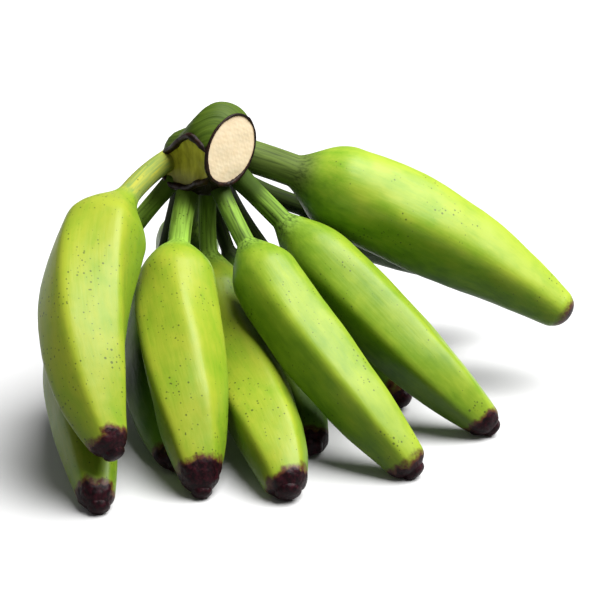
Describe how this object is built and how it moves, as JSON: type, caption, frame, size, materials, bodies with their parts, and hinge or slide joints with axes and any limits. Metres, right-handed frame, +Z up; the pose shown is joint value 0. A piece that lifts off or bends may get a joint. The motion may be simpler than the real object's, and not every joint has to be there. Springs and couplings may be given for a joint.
{
  "type": "hand of plantains",
  "caption": "Hand of green cooking bananas: plump ridged fingers fanning from a cut crown, standing on their blunt tips.",
  "frame": {"origin": "on the table, under the middle of the whole hand's box", "axes": "+Z up; +Y to the back, away from the side with the most fingers; +X to the right, the way the upper right finger points"},
  "size_m": [0.3076, 0.3194, 0.1765],
  "materials": {
    "rind": "satin",
    "crown_stem": "matte"
  },
  "bodies": {
    "root": {"crown": "crown_stem", "finger_upper_right": "rind", "finger_front_5": "rind", "finger_front_4": "rind", "finger_front_3": "rind", "finger_front_2": "rind", "finger_upper_left": "rind", "finger_front_1": "rind", "finger_inner_1": "rind", "finger_inner_2": "rind", "finger_inner_3": "rind", "finger_rear_1": "rind", "finger_rear_2": "rind"}
  },
  "joints": []
}
